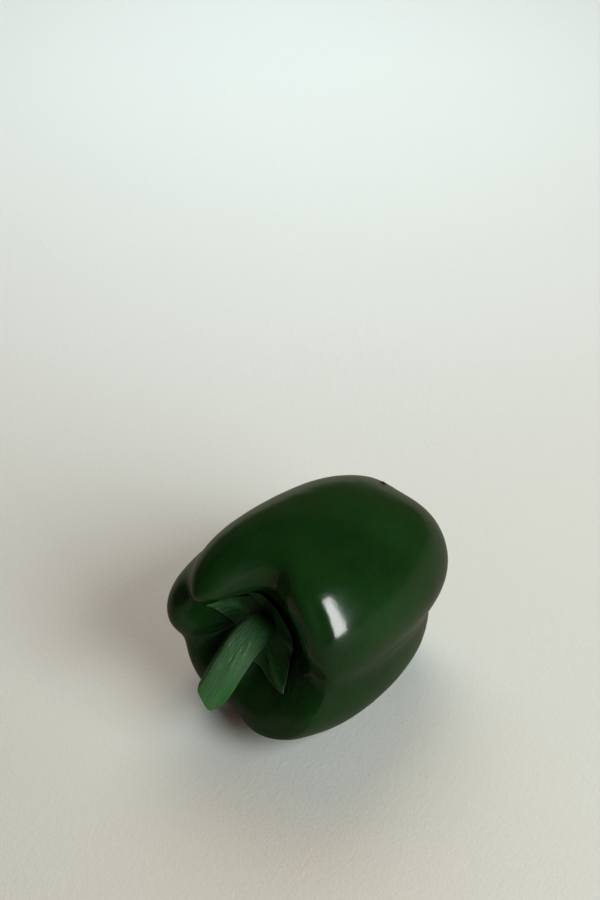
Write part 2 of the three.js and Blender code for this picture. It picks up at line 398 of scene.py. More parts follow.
def close_tree(tree, given, position, stored):
    """Moves the points, keeps the stored attributes and gives the surface its material."""
    geometry = given["Geometry"].socket
    for label, value in stored.items():
        kind = "FLOAT" if isinstance(value, Field) else "FLOAT_VECTOR"
        inputs = {"Geometry": geometry, "Name": label, "Value": value}
        geometry = node_of(tree, "GeometryNodeStoreNamedAttribute", inputs, data_type=kind).outputs[0]
    moved = node_of(tree, "GeometryNodeSetPosition", {"Geometry": geometry, "Position": position})
    realized = node_of(tree, "GeometryNodeRealizeInstances", {0: moved.outputs[0]})
    inputs = {"Geometry": realized.outputs[0], "Material": given["Material"]}
    painted = node_of(tree, "GeometryNodeSetMaterial", inputs)
    finish = tree.nodes.new("NodeGroupOutput")
    tree.links.new(painted.outputs[0], finish.inputs[0])


def lattice(name, rings, sides):
    """A closed blank of rings between two poles. It carries how far along and round each point is."""
    count = rings * sides + 2
    faces = []
    for j in range(sides):
        after = (j + 1) % sides
        faces.append((0, 1 + after, 1 + j))
        for i in range(rings - 1):
            a = 1 + i * sides
            faces.append((a + j, a + after, a + sides + after, a + sides + j))
        foot = 1 + (rings - 1) * sides
        faces.append((count - 1, foot + j, foot + after))
    mesh = bpy.data.meshes.new(name)
    mesh.from_pydata([(0, 0, 0)] * count, [], faces)
    along = [0.0] + [(i + 1) / (rings + 1) for i in range(rings) for _ in range(sides)] + [1.0]
    around = [0.0] + [360 * j / sides for _ in range(rings) for j in range(sides)] + [0.0]
    for label, values in (("along", along), ("around", around)):
        layer = mesh.attributes.new(label, "FLOAT", "POINT")
        layer.data.foreach_set("value", values)
    blank = bpy.data.objects.new(name, mesh)
    bpy.context.scene.collection.objects.link(blank)
    return blank


def shaped(blank, tree, values):
    """Runs the tree on the blank with its inputs set, and leaves the result as a plain mesh."""
    modifier = blank.modifiers.new("shape", "NODES")
    modifier.node_group = tree
    for item in tree.interface.items_tree:
        if item.in_out == "INPUT" and item.name in values:
            modifier[item.identifier] = values[item.name]
    depsgraph = bpy.context.evaluated_depsgraph_get()
    mesh = bpy.data.meshes.new_from_object(blank.evaluated_get(depsgraph), depsgraph=depsgraph)
    blank.modifiers.remove(modifier)
    mesh.name = blank.name
    mesh.shade_smooth()
    blank.data = mesh
    return blank


def on_the_ridge(tree, along):
    """The ridge line's values at a place along it: a smooth cubic curve through its cage."""
    spans = len(RIDGE) - 1
    place = along * spans
    sums = {}
    for index in range(-1, spans + 2):
        mirrored = index < 0 or index > spans
        row = RIDGE[1 if index < 0 else spans - 1 if index > spans else index]
        off = abs(place - index)
        outer = larger(2 - off, 0)
        inner = larger(1 - off, 0)
        weight = (outer * outer * outer - inner * inner * inner * 4) / 6
        for key, value in row.items():
            value = -value if mirrored and key == "r" else value
            if value:
                term = weight * value
                sums[key] = sums[key] + term if key in sums else term
    return sums


def lobe_section(off, swell):
    """Section of one lobe: a circle whose centre is moved off the axis, 1 on its ridge."""
    k = held(swell, -0.9, 0.9)
    return (k * cosine(off) + reckon("SQRT", 1 - square(k * sine(off)))) / (k + 1)


def reach_of(lobe, degrees):
    """How far a lobe reaches from the axis at an angle, as a plain number in mm."""
    k = LOBE_SWELL * lobe["swell"]
    off = radians(degrees - lobe["angle"])
    return lobe["radius"] * (k * cos(off) + (1 - (k * sin(off)) ** 2) ** 0.5) / (1 + k)


def crease_angle(crease):
    """Angle at which the two lobes beside a crease reach equally far, found by halving."""
    before, after = (LOBES[index] for index in crease["between"])
    low = before["angle"]
    high = low + (after["angle"] - low) % 360
    for _ in range(30):
        middle = (low + high) / 2
        if reach_of(before, middle) > reach_of(after, middle):
            low = middle
        else:
            high = middle
    return middle


def fruit_tree():
    """The rule of the fruit's skin: a ridge line swept round the axis, swelling into lobes."""
    tree, given = shaping_tree("lobed fruit", (
        ("Lobe Swell", "NodeSocketFloat", LOBE_SWELL),
        ("Lobe Blend", "NodeSocketFloat", LOBE_BLEND),
        ("Crease Depth", "NodeSocketFloat", 1.0),
        ("Undulation", "NodeSocketFloat", 0.0),
        ("Material", "NodeSocketMaterial", None),
    ))
    along = attribute(tree, "along")
    around = attribute(tree, "around")
    ridge = on_the_ridge(tree, along)
    turned = around + ridge["x"] * (LOBE_TWIST / LOBE_TWIST_LENGTH)
    offs = [turn(turned, lobe["angle"]) for lobe in LOBES]
    reaches = []
    for lobe, off in zip(LOBES, offs):
        reaches.append(lobe_section(off, given["Lobe Swell"] * lobe["swell"]) * lobe["radius"])
    furthest = reaches[0]
    for reach in reaches[1:]:
        furthest = larger(furthest, reach)
    share = r = x = None
    for lobe, off, reach in zip(LOBES, offs, reaches):
        weight = exponent((reach - furthest) * given["Lobe Blend"])
        size = smaller(ridge["r"] / LOBES_FULL_RADIUS, 1) * (lobe["radius"] / WIDEST_RADIUS - 1) + 1
        crest_here = 1 - held((ridge["r"] - CREST_RADIUS) / CREST_FADE, 0, 1)
        crest = ridge["shoulder"] * lobe["crest"] * crest_here
        sag = 1 - reckon("COSINE", smaller(reckon("RADIANS", abs(off)), WIDEST_SAG))
        sag = sag / (1 - cos(radians(HALF_LOBE)))
        lobe_r = ridge["r"] * lobe_section(off, ridge["lobed"] * lobe["swell"]) * size + crest
        lobe_x = ridge["x"] + ridge["sag"] * sag
        lobe_x = lobe_x - ridge["shoulder"] * lobe["shoulder"] + ridge["blossom"] * lobe["blossom"]
        share = weight if share is None else share + weight
        r = weight * lobe_r if r is None else r + weight * lobe_r
        x = weight * lobe_x if x is None else x + weight * lobe_x
    r = r / share
    x = x / share
    notch_here = bell(ridge["r"] - NOTCH_RADIUS, NOTCH_WIDTH)
    notch_here = notch_here / (exponent((ridge["x"] - NOTCH_END) / NOTCH_FADE) + 1)
    groove_here = 1 / (exponent((GROOVE_RADIUS - ridge["r"]) / GROOVE_RADIUS_FADE) + 1)
    groove_here = groove_here / (exponent((GROOVE_START - ridge["x"]) / GROOVE_START_FADE) + 1)
    # Closeness to the nearest crease, kept for the painted shade that darkens the skin there.
    crease_shade_mask = None
    for crease in CREASES:
        closeness = bell(turn(turned, crease_angle(crease)), crease["width"]) * given["Crease Depth"]
        x = x + closeness * notch_here * crease["notch"]
        r = r - closeness * groove_here * crease["groove"]
        crease_shade_mask = closeness if crease_shade_mask is None else larger(crease_shade_mask, closeness)
    fold_end = held((ridge["x"] - FOLD["end"]) / FOLD["fade"], 0, 1)
    fold_here = bell(turn(around, FOLD["angle"]), FOLD["spread"]) * (1 - fold_end)
    x = x + fold_here * bell(r - FOLD["radius"], FOLD["width"]) * FOLD["depth"]
    x = x - fold_here * bell(r - FOLD["radius"] + FOLD["inner"], FOLD["width"]) * FOLD["lip"]
    y = r * cosine(around)
    z = r * sine(around)
    place = joined(tree, x, y, z)
    swing = wave(tree, place, UNDULATION_SCALE) * given["Undulation"] * held(r / UNDULATION_RADIUS, 0, 1)
    off_spot = [square(part - middle) for part, middle in zip((x, y, z), SPOT_PLACE)]
    spot = bell(reckon("SQRT", off_spot[0] + off_spot[1] + off_spot[2]), SPOT_RADIUS)
    swollen = r + swing + spot * SPOT_HEIGHT
    position = joined(tree, x * MM, swollen * cosine(around) * MM, swollen * sine(around) * MM)
    fibre = joined(tree, cosine(around), sine(around), along * SKIN_FIBRE_STRETCH)
    close_tree(tree, given, position, {"crease": crease_shade_mask, "ridge": along, "spot": spot, "fibre": fibre})
    return tree


def calyx_tree():
    """The rule of the calyx: a star-shaped disc draped inside the fruit's cavity by casting rays."""
    tree, given = shaping_tree("draped calyx", (
        ("Fruit", "NodeSocketObject", None),
        ("Radius", "NodeSocketFloat", CALYX_RADIUS),
        ("Thickness", "NodeSocketFloat", CALYX_THICKNESS),
        ("Keel Height", "NodeSocketFloat", KEEL_HEIGHT),
        ("Vein Height", "NodeSocketFloat", VEIN_HEIGHT),
        ("Material", "NodeSocketMaterial", None),
    ))
    along = attribute(tree, "along")
    around = attribute(tree, "around")
    fraction = smaller(along * 2, 2 - along * 2)
    under = reckon("GREATER_THAN", along, 0.5)
    outline = given["Radius"]
    for sepal in SEPALS:
        off = turn(around, sepal["angle"])
        behind = reckon("LESS_THAN", off, 0)
        flank = behind * (sepal["before"] - sepal["after"]) + sepal["after"]
        outline = outline + exponent(-abs(off) / flank) * sepal["reach"]
    r = fraction * outline
    y = r * cosine(around) + CALYX_MIDDLE[0]
    z = r * sine(around) + CALYX_MIDDLE[1]
    fruit = {"Object": given["Fruit"]}
    target = node_of(tree, "GeometryNodeObjectInfo", fruit, transform_space="ORIGINAL")
    outside = joined(tree, CALYX_RAY_START * MM, y * MM, z * MM)
    ray = node_of(tree, "GeometryNodeRaycast", {
        "Target Geometry": target.outputs["Geometry"],
        "Source Position": outside,
        "Ray Direction": (1, 0, 0),
        "Ray Length": CALYX_RAY_LENGTH * MM,
    })
    hit = node_of(tree, "ShaderNodeSeparateXYZ", {0: ray.outputs["Hit Position"]})
    facing = node_of(tree, "ShaderNodeSeparateXYZ", {0: ray.outputs["Hit Normal"]})
    wall_x = Field(tree, hit.outputs[0]) / MM
    lean = 1 / larger(abs(Field(tree, facing.outputs[0])), FLATTEST_WALL)
    rim = reckon("SQRT", larger(1 - reckon("POWER", fraction, CALYX_EDGE_POWER), 0))
    thickness = given["Thickness"] * rim * (r * CALYX_GROWTH + 1)
    cup = CALYX_FLOOR_X - square(r) * CALYX_CUPPING
    wall = wall_x - lean * CALYX_CLEARANCE - given["Thickness"]
    lower = smaller(cup, wall)
    spread = exponent((lower - cup) * CALYX_DRAPE) + exponent((lower - wall) * CALYX_DRAPE)
    top = lower - reckon("LOGARITHM", spread, e) / CALYX_DRAPE
    keel = None
    vein = None
    for sepal in SEPALS:
        tip = CALYX_RADIUS + sepal["reach"]
        line = (tip - r) * sepal["slant"] + sepal["angle"]
        aside = reckon("RADIANS", turn(around, line)) * r
        here = bell(aside, KEEL_WIDTH)
        off_rib = reckon("PINGPONG", r - abs(aside) * VEIN["slope"], VEIN["spacing"])
        ribs = bell(off_rib, VEIN["width"]) * bell(aside, VEIN["spread"])
        keel = here if keel is None else keel + here
        vein = ribs if vein is None else larger(vein, ribs)
    inner = held((r - KEEL_START) / KEEL_FADE, 0, 1)
    place = joined(tree, 0, y, z)
    ripple = wave(tree, place, RIPPLE["broad_scale"]) * RIPPLE["broad"] * square(fraction)
    ripple = ripple + wave(tree, place, RIPPLE["fine_scale"]) * RIPPLE["fine"] * fraction
    relief = keel * given["Keel Height"] * inner + vein * given["Vein Height"] * inner * (1 - under)
    x = top - relief - ripple * RIPPLE["share"] + under * thickness
    x = smaller(x, wall_x - lean * CALYX_GAP)
    position = joined(tree, x * MM, y * MM, z * MM)
    fibre = joined(tree, cosine(around) * FIBRE_SPREAD, sine(around) * FIBRE_SPREAD, r * LEAF_FIBRE_STRETCH)
    close_tree(tree, given, position, {
        "keel": keel * inner, "vein": vein * inner, "fraction": fraction, "fibre": fibre})
    return tree


def stem_tree():
    """The rule of the stem: ribbed rings carried along a curve, with a slanted cut at its end."""
    tree, given = shaping_tree("ribbed stem", (
        ("Base Radius", "NodeSocketFloat", STEM_BASE_RADIUS),
        ("Radius", "NodeSocketFloat", STEM_RADIUS),
        ("End Radius", "NodeSocketFloat", STEM_END_RADIUS),
        ("Rib Depth", "NodeSocketFloat", STEM_RIB_DEPTH),
        ("Material", "NodeSocketMaterial", None),
    ))
    along = attribute(tree, "along")
    around = attribute(tree, "around")
    path = node_of(tree, "GeometryNodeCurvePrimitiveBezierSegment", {
        "Resolution": 100,
        "Start": STEM_PATH[0],
        "Start Handle": STEM_PATH[1],
        "End Handle": STEM_PATH[2],
        "End": STEM_PATH[3],
    }, mode="POSITION")
    t = held(along / STEM_CUT_START, 0, 1)
    past = held((along - STEM_CUT_START) / (1 - STEM_CUT_START), 0, 1)
    where = {"Curves": path.outputs[0], "Factor": t}
    sample = node_of(tree, "GeometryNodeSampleCurve", where, mode="FACTOR")
    centre = sample.outputs["Position"]
    ahead = sample.outputs["Tangent"]
    across = (0, 1, 0)
    dot = node_of(tree, "ShaderNodeVectorMath", {0: across, 1: ahead}, operation="DOT_PRODUCT")
    part = vector_step(tree, "SCALE", ahead, dot.outputs["Value"])
    side = vector_step(tree, "SUBTRACT", across, part)
    side = node_of(tree, "ShaderNodeVectorMath", {0: side}, operation="NORMALIZE").outputs[0]
    up = vector_step(tree, "CROSS_PRODUCT", ahead, side)
    widened = given["Radius"] - given["Base Radius"]
    flare = given["Base Radius"] + widened * smaller(t / STEM_FLARE_END, 1)
    widening = (given["End Radius"] - given["Radius"]) * reckon("POWER", t, 3)
    ribs = cosine(around * STEM_RIBS) * given["Rib Depth"] * smaller(t / STEM_RIB_START, 1)
    spread = STEM_GRAIN["spread"]
    place = joined(tree, cosine(around) * spread, sine(around) * spread, t * spread)
    grain = wave(tree, place, STEM_GRAIN["scale"]) * STEM_GRAIN["height"]
    skin = flare + widening + ribs + grain
    closing = reckon("SQRT", larger(1 - reckon("POWER", past, STEM_CUT_ROUNDING), 0))
    r = skin * closing
    dent = bell(r, STEM_DENT_WIDTH) * past * STEM_DENT_DEPTH
    slant = reckon("POWER", t, STEM_SLANT_POWER) * cosine(around - STEM_CUT_ANGLE)
    slant = slant * (STEM_CUT_SLANT / STEM_END_RADIUS) * r
    forward = slant + reckon("POWER", past, 0.5) * STEM_CUT_BULGE - dent
    total = centre
    for heading, length in ((side, r * cosine(around)), (up, r * sine(around)), (ahead, forward)):
        total = vector_step(tree, "ADD", total, vector_step(tree, "SCALE", heading, length))
    position = vector_step(tree, "SCALE", total, MM)
    fibre = joined(
        tree, cosine(around) * FIBRE_SPREAD, sine(around) * FIBRE_SPREAD, along * STEM_FIBRE_STRETCH)
    close_tree(tree, given, position, {"cut": past, "length": t, "fibre": fibre})
    return tree


def object_place(tree):
    """Object coordinates for a material, in metres."""
    return node_of(tree, "ShaderNodeTexCoord").outputs["Object"]


def blend_colours(tree, factor, first, second):
    """A mix of two colours."""
    node = node_of(tree, "ShaderNodeMix", data_type="RGBA", blend_type="MIX")
    plug(tree, node.inputs["Factor"], factor)
    plug(tree, node.inputs["A"], first)
    plug(tree, node.inputs["B"], second)
    return node.outputs["Result"]


def new_material(name):
    """A material with its Principled shader."""
    material = bpy.data.materials.new(name)
    material.use_nodes = True
    return material, material.node_tree, material.node_tree.nodes["Principled BSDF"]


def effect_group(name, inputs, output):
    """A shader node group with named inputs. Gives it, its inputs as fields, and its output socket."""
    group = bpy.data.node_groups.new(name, "ShaderNodeTree")
    for label, value in inputs.items():
        is_vector = value is None
        socket = group.interface.new_socket(
            label, in_out="INPUT", socket_type="NodeSocketVector" if is_vector else "NodeSocketFloat")
        if not is_vector:
            socket.default_value = value
    group.interface.new_socket(output, in_out="OUTPUT", socket_type="NodeSocketFloat")
    entry = group.nodes.new("NodeGroupInput")
    finish = group.nodes.new("NodeGroupOutput")
    given = {socket.name: Field(group, socket) for socket in entry.outputs if socket.name}
    return group, given, finish.inputs[0]


def group_noise(group, given, scale, detail):
    """Noise from 0 to 1 at the group's place."""
    inputs = {"Vector": given["Place"].socket, "Scale": scale, "Detail": detail}
    return Field(group, node_of(group, "ShaderNodeTexNoise", inputs).outputs[0])


def mottling_group():
    """Soft clouds of a second colour."""
    group, given, out = effect_group(
        "mottling", {"Place": None, "Scale": 50.0, "Start": 0.4, "Contrast": 3.0}, "Mask")
    clouds = group_noise(group, given, given["Scale"], 3.0)
    plug(group, out, held((clouds - given["Start"]) * given["Contrast"], 0, 1))
    return group


def relief_group():
    """Fine pores over a slow swell, as a height."""
    group, given, out = effect_group(
        "fine relief", {"Place": None, "Pores": 900.0, "Swell": 250.0, "Swell Share": 2.0}, "Height")
    pores = group_noise(group, given, given["Pores"], 2.0)
    swell = group_noise(group, given, given["Swell"], 2.0)
    plug(group, out, pores + swell * given["Swell Share"])
    return group


def fibre_group():
    """Long streaks that run along a piece, from a place that changes slowly lengthwise."""
    group, given, out = effect_group(
        "fibres", {"Place": None, "Scale": 6.0, "Start": 0.4, "Contrast": 4.0}, "Mask")
    streaks = group_noise(group, given, given["Scale"], 4.0)
    plug(group, out, held((streaks - given["Start"]) * given["Contrast"], 0, 1))
    return group


def speck_group():
    """Small round pale pores, scattered evenly."""
    group, given, out = effect_group(
        "specks", {"Place": None, "Scale": 500.0, "Size": 0.2, "Share": 0.4}, "Mask")
    inputs = {"Vector": given["Place"].socket, "Scale": given["Scale"]}
    cells = node_of(group, "ShaderNodeTexVoronoi", inputs)
    split = node_of(group, "ShaderNodeSeparateColor", {0: cells.outputs["Color"]})
    chosen = reckon("LESS_THAN", Field(group, split.outputs[0]), given["Share"])
    near = held(1 - Field(group, cells.outputs["Distance"]) / given["Size"], 0, 1)
    plug(group, out, near * chosen)
    return group


EFFECTS = {
    "mottling": mottling_group,
    "fine relief": relief_group,
    "fibres": fibre_group,
    "specks": speck_group,
}


def effect(tree, name, place, **values):
    """Puts one of the shared effects in a material, with its own values."""
    group = bpy.data.node_groups.get(name) or EFFECTS[name]()
    inputs = {"Place": place}
    inputs.update({label.replace("_", " ").title(): value for label, value in values.items()})
    return Field(tree, node_of(tree, "ShaderNodeGroup", inputs, node_tree=group).outputs[0])


def material_attribute(tree, name):
    """A float attribute of the piece, read by a material."""
    return Field(tree, node_of(tree, "ShaderNodeAttribute", attribute_name=name).outputs["Fac"])


def fibre_place(tree):
    """The stored place for streaks, which changes slowly along the piece."""
    return node_of(tree, "ShaderNodeAttribute", attribute_name="fibre").outputs["Vector"]


def bumped(tree, shader, height, distance):
    """Feeds a height into the shader's normal."""
    inputs = {"Height": height, "Distance": distance, "Strength": 1.0}
    tree.links.new(node_of(tree, "ShaderNodeBump", inputs).outputs[0], shader.inputs["Normal"])


def skin_material(colours):
    """Glossy waxy skin: dark green in soft clouds, olive patches, faint streaks, pale pores, and painted
    shade that darkens the creases.
    """
    material, tree, shader = new_material("pepper skin")
    place = object_place(tree)
    clouds = effect(tree, "mottling", place, scale=34.0, start=0.36, contrast=3.2)
    olive = effect(tree, "mottling", place, scale=17.0, start=0.47, contrast=4.0)
    streaks = effect(tree, "fibres", fibre_place(tree), scale=9.0, start=0.4, contrast=3.0)
    pores = effect(tree, "specks", place, scale=620.0, size=0.22, share=0.35)
    colour = blend_colours(tree, clouds, tuple(colours.skin_deep_and_crease_shade), tuple(colours.skin_fresh))
    colour = blend_colours(tree, olive * SKIN_TINT["olive"], colour, tuple(colours.skin_olive))
    colour = blend_colours(tree, streaks * SKIN_TINT["streaks"], colour, tuple(colours.skin_fresh))
    # Painted shade: the skin is darkened towards its deepest green along the creases.
    crease = square(material_attribute(tree, "crease"))
    colour = blend_colours(tree, crease * SKIN_TINT["crease"], colour, tuple(colours.skin_deep_and_crease_shade))
    colour = blend_colours(tree, pores * SKIN_TINT["pores"], colour, tuple(colours.skin_pore))
    ridge = material_attribute(tree, "ridge")
    scar = bell(ridge - 1, SCAR_SIZE)
    spot = held(material_attribute(tree, "spot") * SPOT_GAIN, 0, 1)
    colour = blend_colours(tree, larger(scar, spot), colour, tuple(colours.scar))
    plug(tree, shader.inputs["Base Color"], colour)
    dull = held(scar + spot, 0, 1)
    roughness = clouds * SKIN_ROUGHNESS["clouds"] + streaks * SKIN_ROUGHNESS["streaks"]
    roughness = roughness + dull * SKIN_ROUGHNESS["dull"] + SKIN_ROUGHNESS["plain"]
    plug(tree, shader.inputs["Roughness"], roughness)
    shader.inputs["IOR"].default_value = SKIN_IOR
    height = effect(tree, "fine relief", place, pores=800.0, swell=170.0, swell_share=3.0)
    bumped(tree, shader, height - pores * 0.5 + scar * 3, SKIN_RELIEF)
    return material


def calyx_material(colours):
    """Leafy satin green, paler along the keels and veins, drier at the very edge."""
    material, tree, shader = new_material("calyx leaf")
    place = object_place(tree)
    vein = material_attribute(tree, "vein")
    keel = held(material_attribute(tree, "keel"), 0, 1)
    clouds = effect(tree, "mottling", place, scale=190.0, start=0.38, contrast=3.5)
    streaks = effect(tree, "fibres", fibre_place(tree), scale=11.0, start=0.38, contrast=4.0)
    colour = blend_colours(tree, clouds, tuple(colours.calyx_deep), tuple(colours.calyx_fresh))
    colour = blend_colours(tree, streaks * CALYX_TINT["streaks"], colour, tuple(colours.calyx_fresh))
    pale = held(keel * CALYX_TINT["keel"] + vein * CALYX_TINT["vein"], 0, CALYX_TINT["most"])
    colour = blend_colours(tree, pale, colour, tuple(colours.calyx_keel))
    edge = held((material_attribute(tree, "fraction") - CALYX_EDGE_START) * CALYX_EDGE_GAIN, 0, 1)
    colour = blend_colours(tree, edge * CALYX_TINT["edge"], colour, tuple(colours.calyx_edge))
    plug(tree, shader.inputs["Base Color"], colour)
    roughness = clouds * CALYX_ROUGHNESS["clouds"] + edge * CALYX_ROUGHNESS["edge"]
    plug(tree, shader.inputs["Roughness"], roughness + CALYX_ROUGHNESS["plain"])
    height = effect(tree, "fine relief", place, pores=1500.0, swell=500.0, swell_share=2.0)
    bumped(tree, shader, height + vein * 1.5, LEAF_RELIEF)
    return material


def stem_material(colours):
    """Fleshy light green with long pale streaks, pale pores and a drier cut face."""
    material, tree, shader = new_material("stem flesh")
    place = object_place(tree)
    length = material_attribute(tree, "length")
    cut = material_attribute(tree, "cut")
    streaks = effect(tree, "fibres", fibre_place(tree), scale=7.0, start=0.36, contrast=3.4)
    fine = effect(tree, "fibres", fibre_place(tree), scale=26.0, start=0.45, contrast=4.0)
    pores = effect(tree, "specks", place, scale=480.0, size=0.25, share=0.3)
    colour = blend_colours(tree, streaks, tuple(colours.stem_deep), tuple(colours.stem_fresh))
    colour = blend_colours(tree, fine * STEM_TINT["fine"], colour, tuple(colours.stem_pale))
    colour = blend_colours(tree, square(length) * STEM_TINT["length"], colour, tuple(colours.stem_pale))
    colour = blend_colours(tree, pores * STEM_TINT["pores"], colour, tuple(colours.stem_pale))
    colour = blend_colours(tree, square(cut) * STEM_TINT["cut"], colour, tuple(colours.stem_cut))
    plug(tree, shader.inputs["Base Color"], colour)
    roughness = streaks * STEM_ROUGHNESS["streaks"] + cut * STEM_ROUGHNESS["cut"]
    plug(tree, shader.inputs["Roughness"], roughness + STEM_ROUGHNESS["plain"])
    height = effect(tree, "fine relief", place, pores=1200.0, swell=400.0, swell_share=2.0)
    bumped(tree, shader, height + fine * 2 + streaks * 2, LEAF_RELIEF)
    return material


def paper_material(colour):
    """Plain matt floor with a barely seen tooth. Glossy surfaces mirror it painted darker and browner, as
    painted shade of a dim room.
    """
    material, tree, shader = new_material("studio floor")
    place = object_place(tree)
    tint = effect(tree, "mottling", place, scale=5.0, start=0.2, contrast=1.6)
    paler = tuple(min(1, part * PALER_PAPER) for part in colour[:3]) + (1,)
    plain = blend_colours(tree, tint, tuple(colour), paler)
    # Painted shade on the floor's reflection: glossy rays see the floor darker and browner than it is.
    mirrored = node_of(tree, "ShaderNodeLightPath").outputs["Is Glossy Ray"]
    mirror_shade_colour = tuple(part * share for part, share in zip(colour[:3], MIRRORED_FLOOR)) + (1,)
    plug(tree, shader.inputs["Base Color"], blend_colours(tree, mirrored, plain, mirror_shade_colour))
    shader.inputs["Roughness"].default_value = PAPER_ROUGHNESS
    shader.inputs["Specular IOR Level"].default_value = PAPER_SHINE
    height = effect(tree, "fine relief", place, pores=1400.0, swell=500.0, swell_share=1.0)
    bumped(tree, shader, height, PAPER_RELIEF)
    return material


def colour_property(label, words, value):
    """A colour that a user would change."""
    return bpy.props.FloatVectorProperty(
        name=label, description=words, default=value, size=4, min=0, max=1, subtype="COLOR")


class PepperColours(bpy.types.PropertyGroup):
    """Colours of the pepper."""

    # Deep skin is the skin's own darkest green, and also the painted shade in the creases.
    skin_deep_and_crease_shade: colour_property("Deep skin", "Darkest green of the skin", (0.0055, 0.0235, 0.0045, 1))
    skin_fresh: colour_property("Fresh skin", "Liveliest green of the skin", (0.0075, 0.040, 0.0065, 1))
    skin_olive: colour_property("Olive skin", "Brownish green clouds", (0.016, 0.030, 0.0075, 1))
    skin_pore: colour_property("Pores", "Pale pores of the skin and stem", (0.05, 0.10, 0.03, 1))
    scar: colour_property("Scar", "Corky blossom end and the dry spot", (0.035, 0.022, 0.012, 1))
    calyx_deep: colour_property("Deep calyx", "Darkest green of the sepals", (0.010, 0.044, 0.009, 1))
    calyx_fresh: colour_property("Fresh calyx", "Liveliest green of the sepals", (0.018, 0.080, 0.017, 1))
    calyx_keel: colour_property("Keel", "Pale green of the keels and veins", (0.045, 0.15, 0.038, 1))
    calyx_edge: colour_property("Calyx edge", "Dry edge of the sepals", (0.060, 0.085, 0.025, 1))
    stem_deep: colour_property("Deep stem", "Darkest green of the stem", (0.014, 0.080, 0.014, 1))
    stem_fresh: colour_property("Fresh stem", "Liveliest green of the stem", (0.024, 0.125, 0.022, 1))
    stem_pale: colour_property("Pale stem", "Light green near the cut", (0.045, 0.20, 0.040, 1))
    stem_cut: colour_property("Cut face", "Dry flesh of the cut", (0.10, 0.16, 0.05, 1))


class PepperShape(bpy.types.PropertyGroup):
    """Sizes of the pepper."""

    swell: bpy.props.FloatProperty(
        name="Lobe swell", description="How far the lobes stand off the axis", default=LOBE_SWELL,
        min=0, max=0.8, subtype="FACTOR")
    crease: bpy.props.FloatProperty(
        name="Crease depth", description="Depth of the creases between lobes", default=1, min=0, max=2,
        subtype="FACTOR")
    undulation: bpy.props.FloatProperty(
        name="Undulation", description="Gentle unevenness of the skin", default=0.35 * MM, min=0, max=0.002,
        unit="LENGTH")
    calyx_radius: bpy.props.FloatProperty(
        name="Calyx radius", description="Radius of the calyx between its sepals", default=CALYX_RADIUS * MM,
        min=0.005, max=0.03, unit="LENGTH")
    keel: bpy.props.FloatProperty(
        name="Keel height", description="Height of the fold along each sepal", default=KEEL_HEIGHT * MM,
        min=0, max=0.003, unit="LENGTH")
    stem_radius: bpy.props.FloatProperty(
        name="Stem radius", description="Radius of the middle of the stem", default=STEM_RADIUS * MM,
        min=0.002, max=0.01, unit="LENGTH")


class StudioSettings(bpy.types.PropertyGroup):
    """The plain studio."""

    floor: colour_property("Floor", "Colour of the plain floor", (0.78, 0.75, 0.70, 1))
    window_power: bpy.props.FloatProperty(
        name="Window light", description="Power of the soft light from the side", default=8.65, min=0,
        unit="POWER")
    back_power: bpy.props.FloatProperty(
        name="Back light", description="Power of the cool light over the far floor", default=3.74, min=0,
        unit="POWER")
    warm_power: bpy.props.FloatProperty(
        name="Warm light", description="Power of the warm light higher over the far floor",
        default=3.02, min=0, unit="POWER")
    glint_power: bpy.props.FloatProperty(
        name="Glint light", description="Power of the panel that the skin mirrors", default=16, min=0,
        unit="POWER")
    sky: bpy.props.FloatProperty(
        name="Sky", description="Strength of the even light all round", default=0.065, min=0, max=3)


RAW_FRUIT = "fruit_on_its_axis"


def resting_place():
    """From the fruit's own axis frame to where it lies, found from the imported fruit's box."""
    raw = bpy.data.objects[RAW_FRUIT]
    tip = Matrix.Rotation(radians(BLOSSOM_END_DIP), 4, "Y")
    corners = [tip @ vertex.co for vertex in raw.data.vertices]
    low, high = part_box("fruit")
    across = [(low[k] + high[k]) / 2 - (min(c[k] for c in corners) + max(c[k] for c in corners)) / 2
              for k in range(2)]
    lift = -(min(corner.z for corner in corners) + REST_CUT)
    return Matrix.Translation((across[0], across[1], lift)) @ tip


def settle(piece, node):
    """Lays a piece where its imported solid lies, and lets it stand for that solid."""
    piece.data.transform(resting_place())
    piece.data.update()
    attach(piece, "root")
    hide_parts(node)


class PEPPER_OT_fruit(bpy.types.Operator):
    """Makes the lobed fruit."""

    bl_idname = "pepper.fruit"
    bl_label = "Make the fruit"

    def execute(self, context):
        shape = context.scene.pepper_shape
        values = {
            "Lobe Swell": shape.swell,
            "Crease Depth": shape.crease,
            "Undulation": shape.undulation / MM,
            "Material": skin_material(context.scene.pepper_colours),
        }
        raw = shaped(lattice(RAW_FRUIT, FRUIT_RINGS, FRUIT_SIDES), fruit_tree(), values)
        fruit = bpy.data.objects.new("fruit_skin", raw.data.copy())
        context.scene.collection.objects.link(fruit)
        settle(fruit, "fruit")
        for vertex in fruit.data.vertices:
            vertex.co.z = max(vertex.co.z, 0)
        return {"FINISHED"}


class PEPPER_OT_calyx(bpy.types.Operator):
    """Makes the calyx, draped inside the fruit's cavity."""

    bl_idname = "pepper.calyx"
    bl_label = "Make the calyx"

    def execute(self, context):
        shape = context.scene.pepper_shape
        values = {
            "Fruit": bpy.data.objects[RAW_FRUIT],
            "Radius": shape.calyx_radius / MM,
            "Keel Height": shape.keel / MM,
            "Material": calyx_material(context.scene.pepper_colours),
        }
        calyx = shaped(lattice("calyx_star", CALYX_RINGS, CALYX_SIDES), calyx_tree(), values)
        settle(calyx, "calyx")
        return {"FINISHED"}


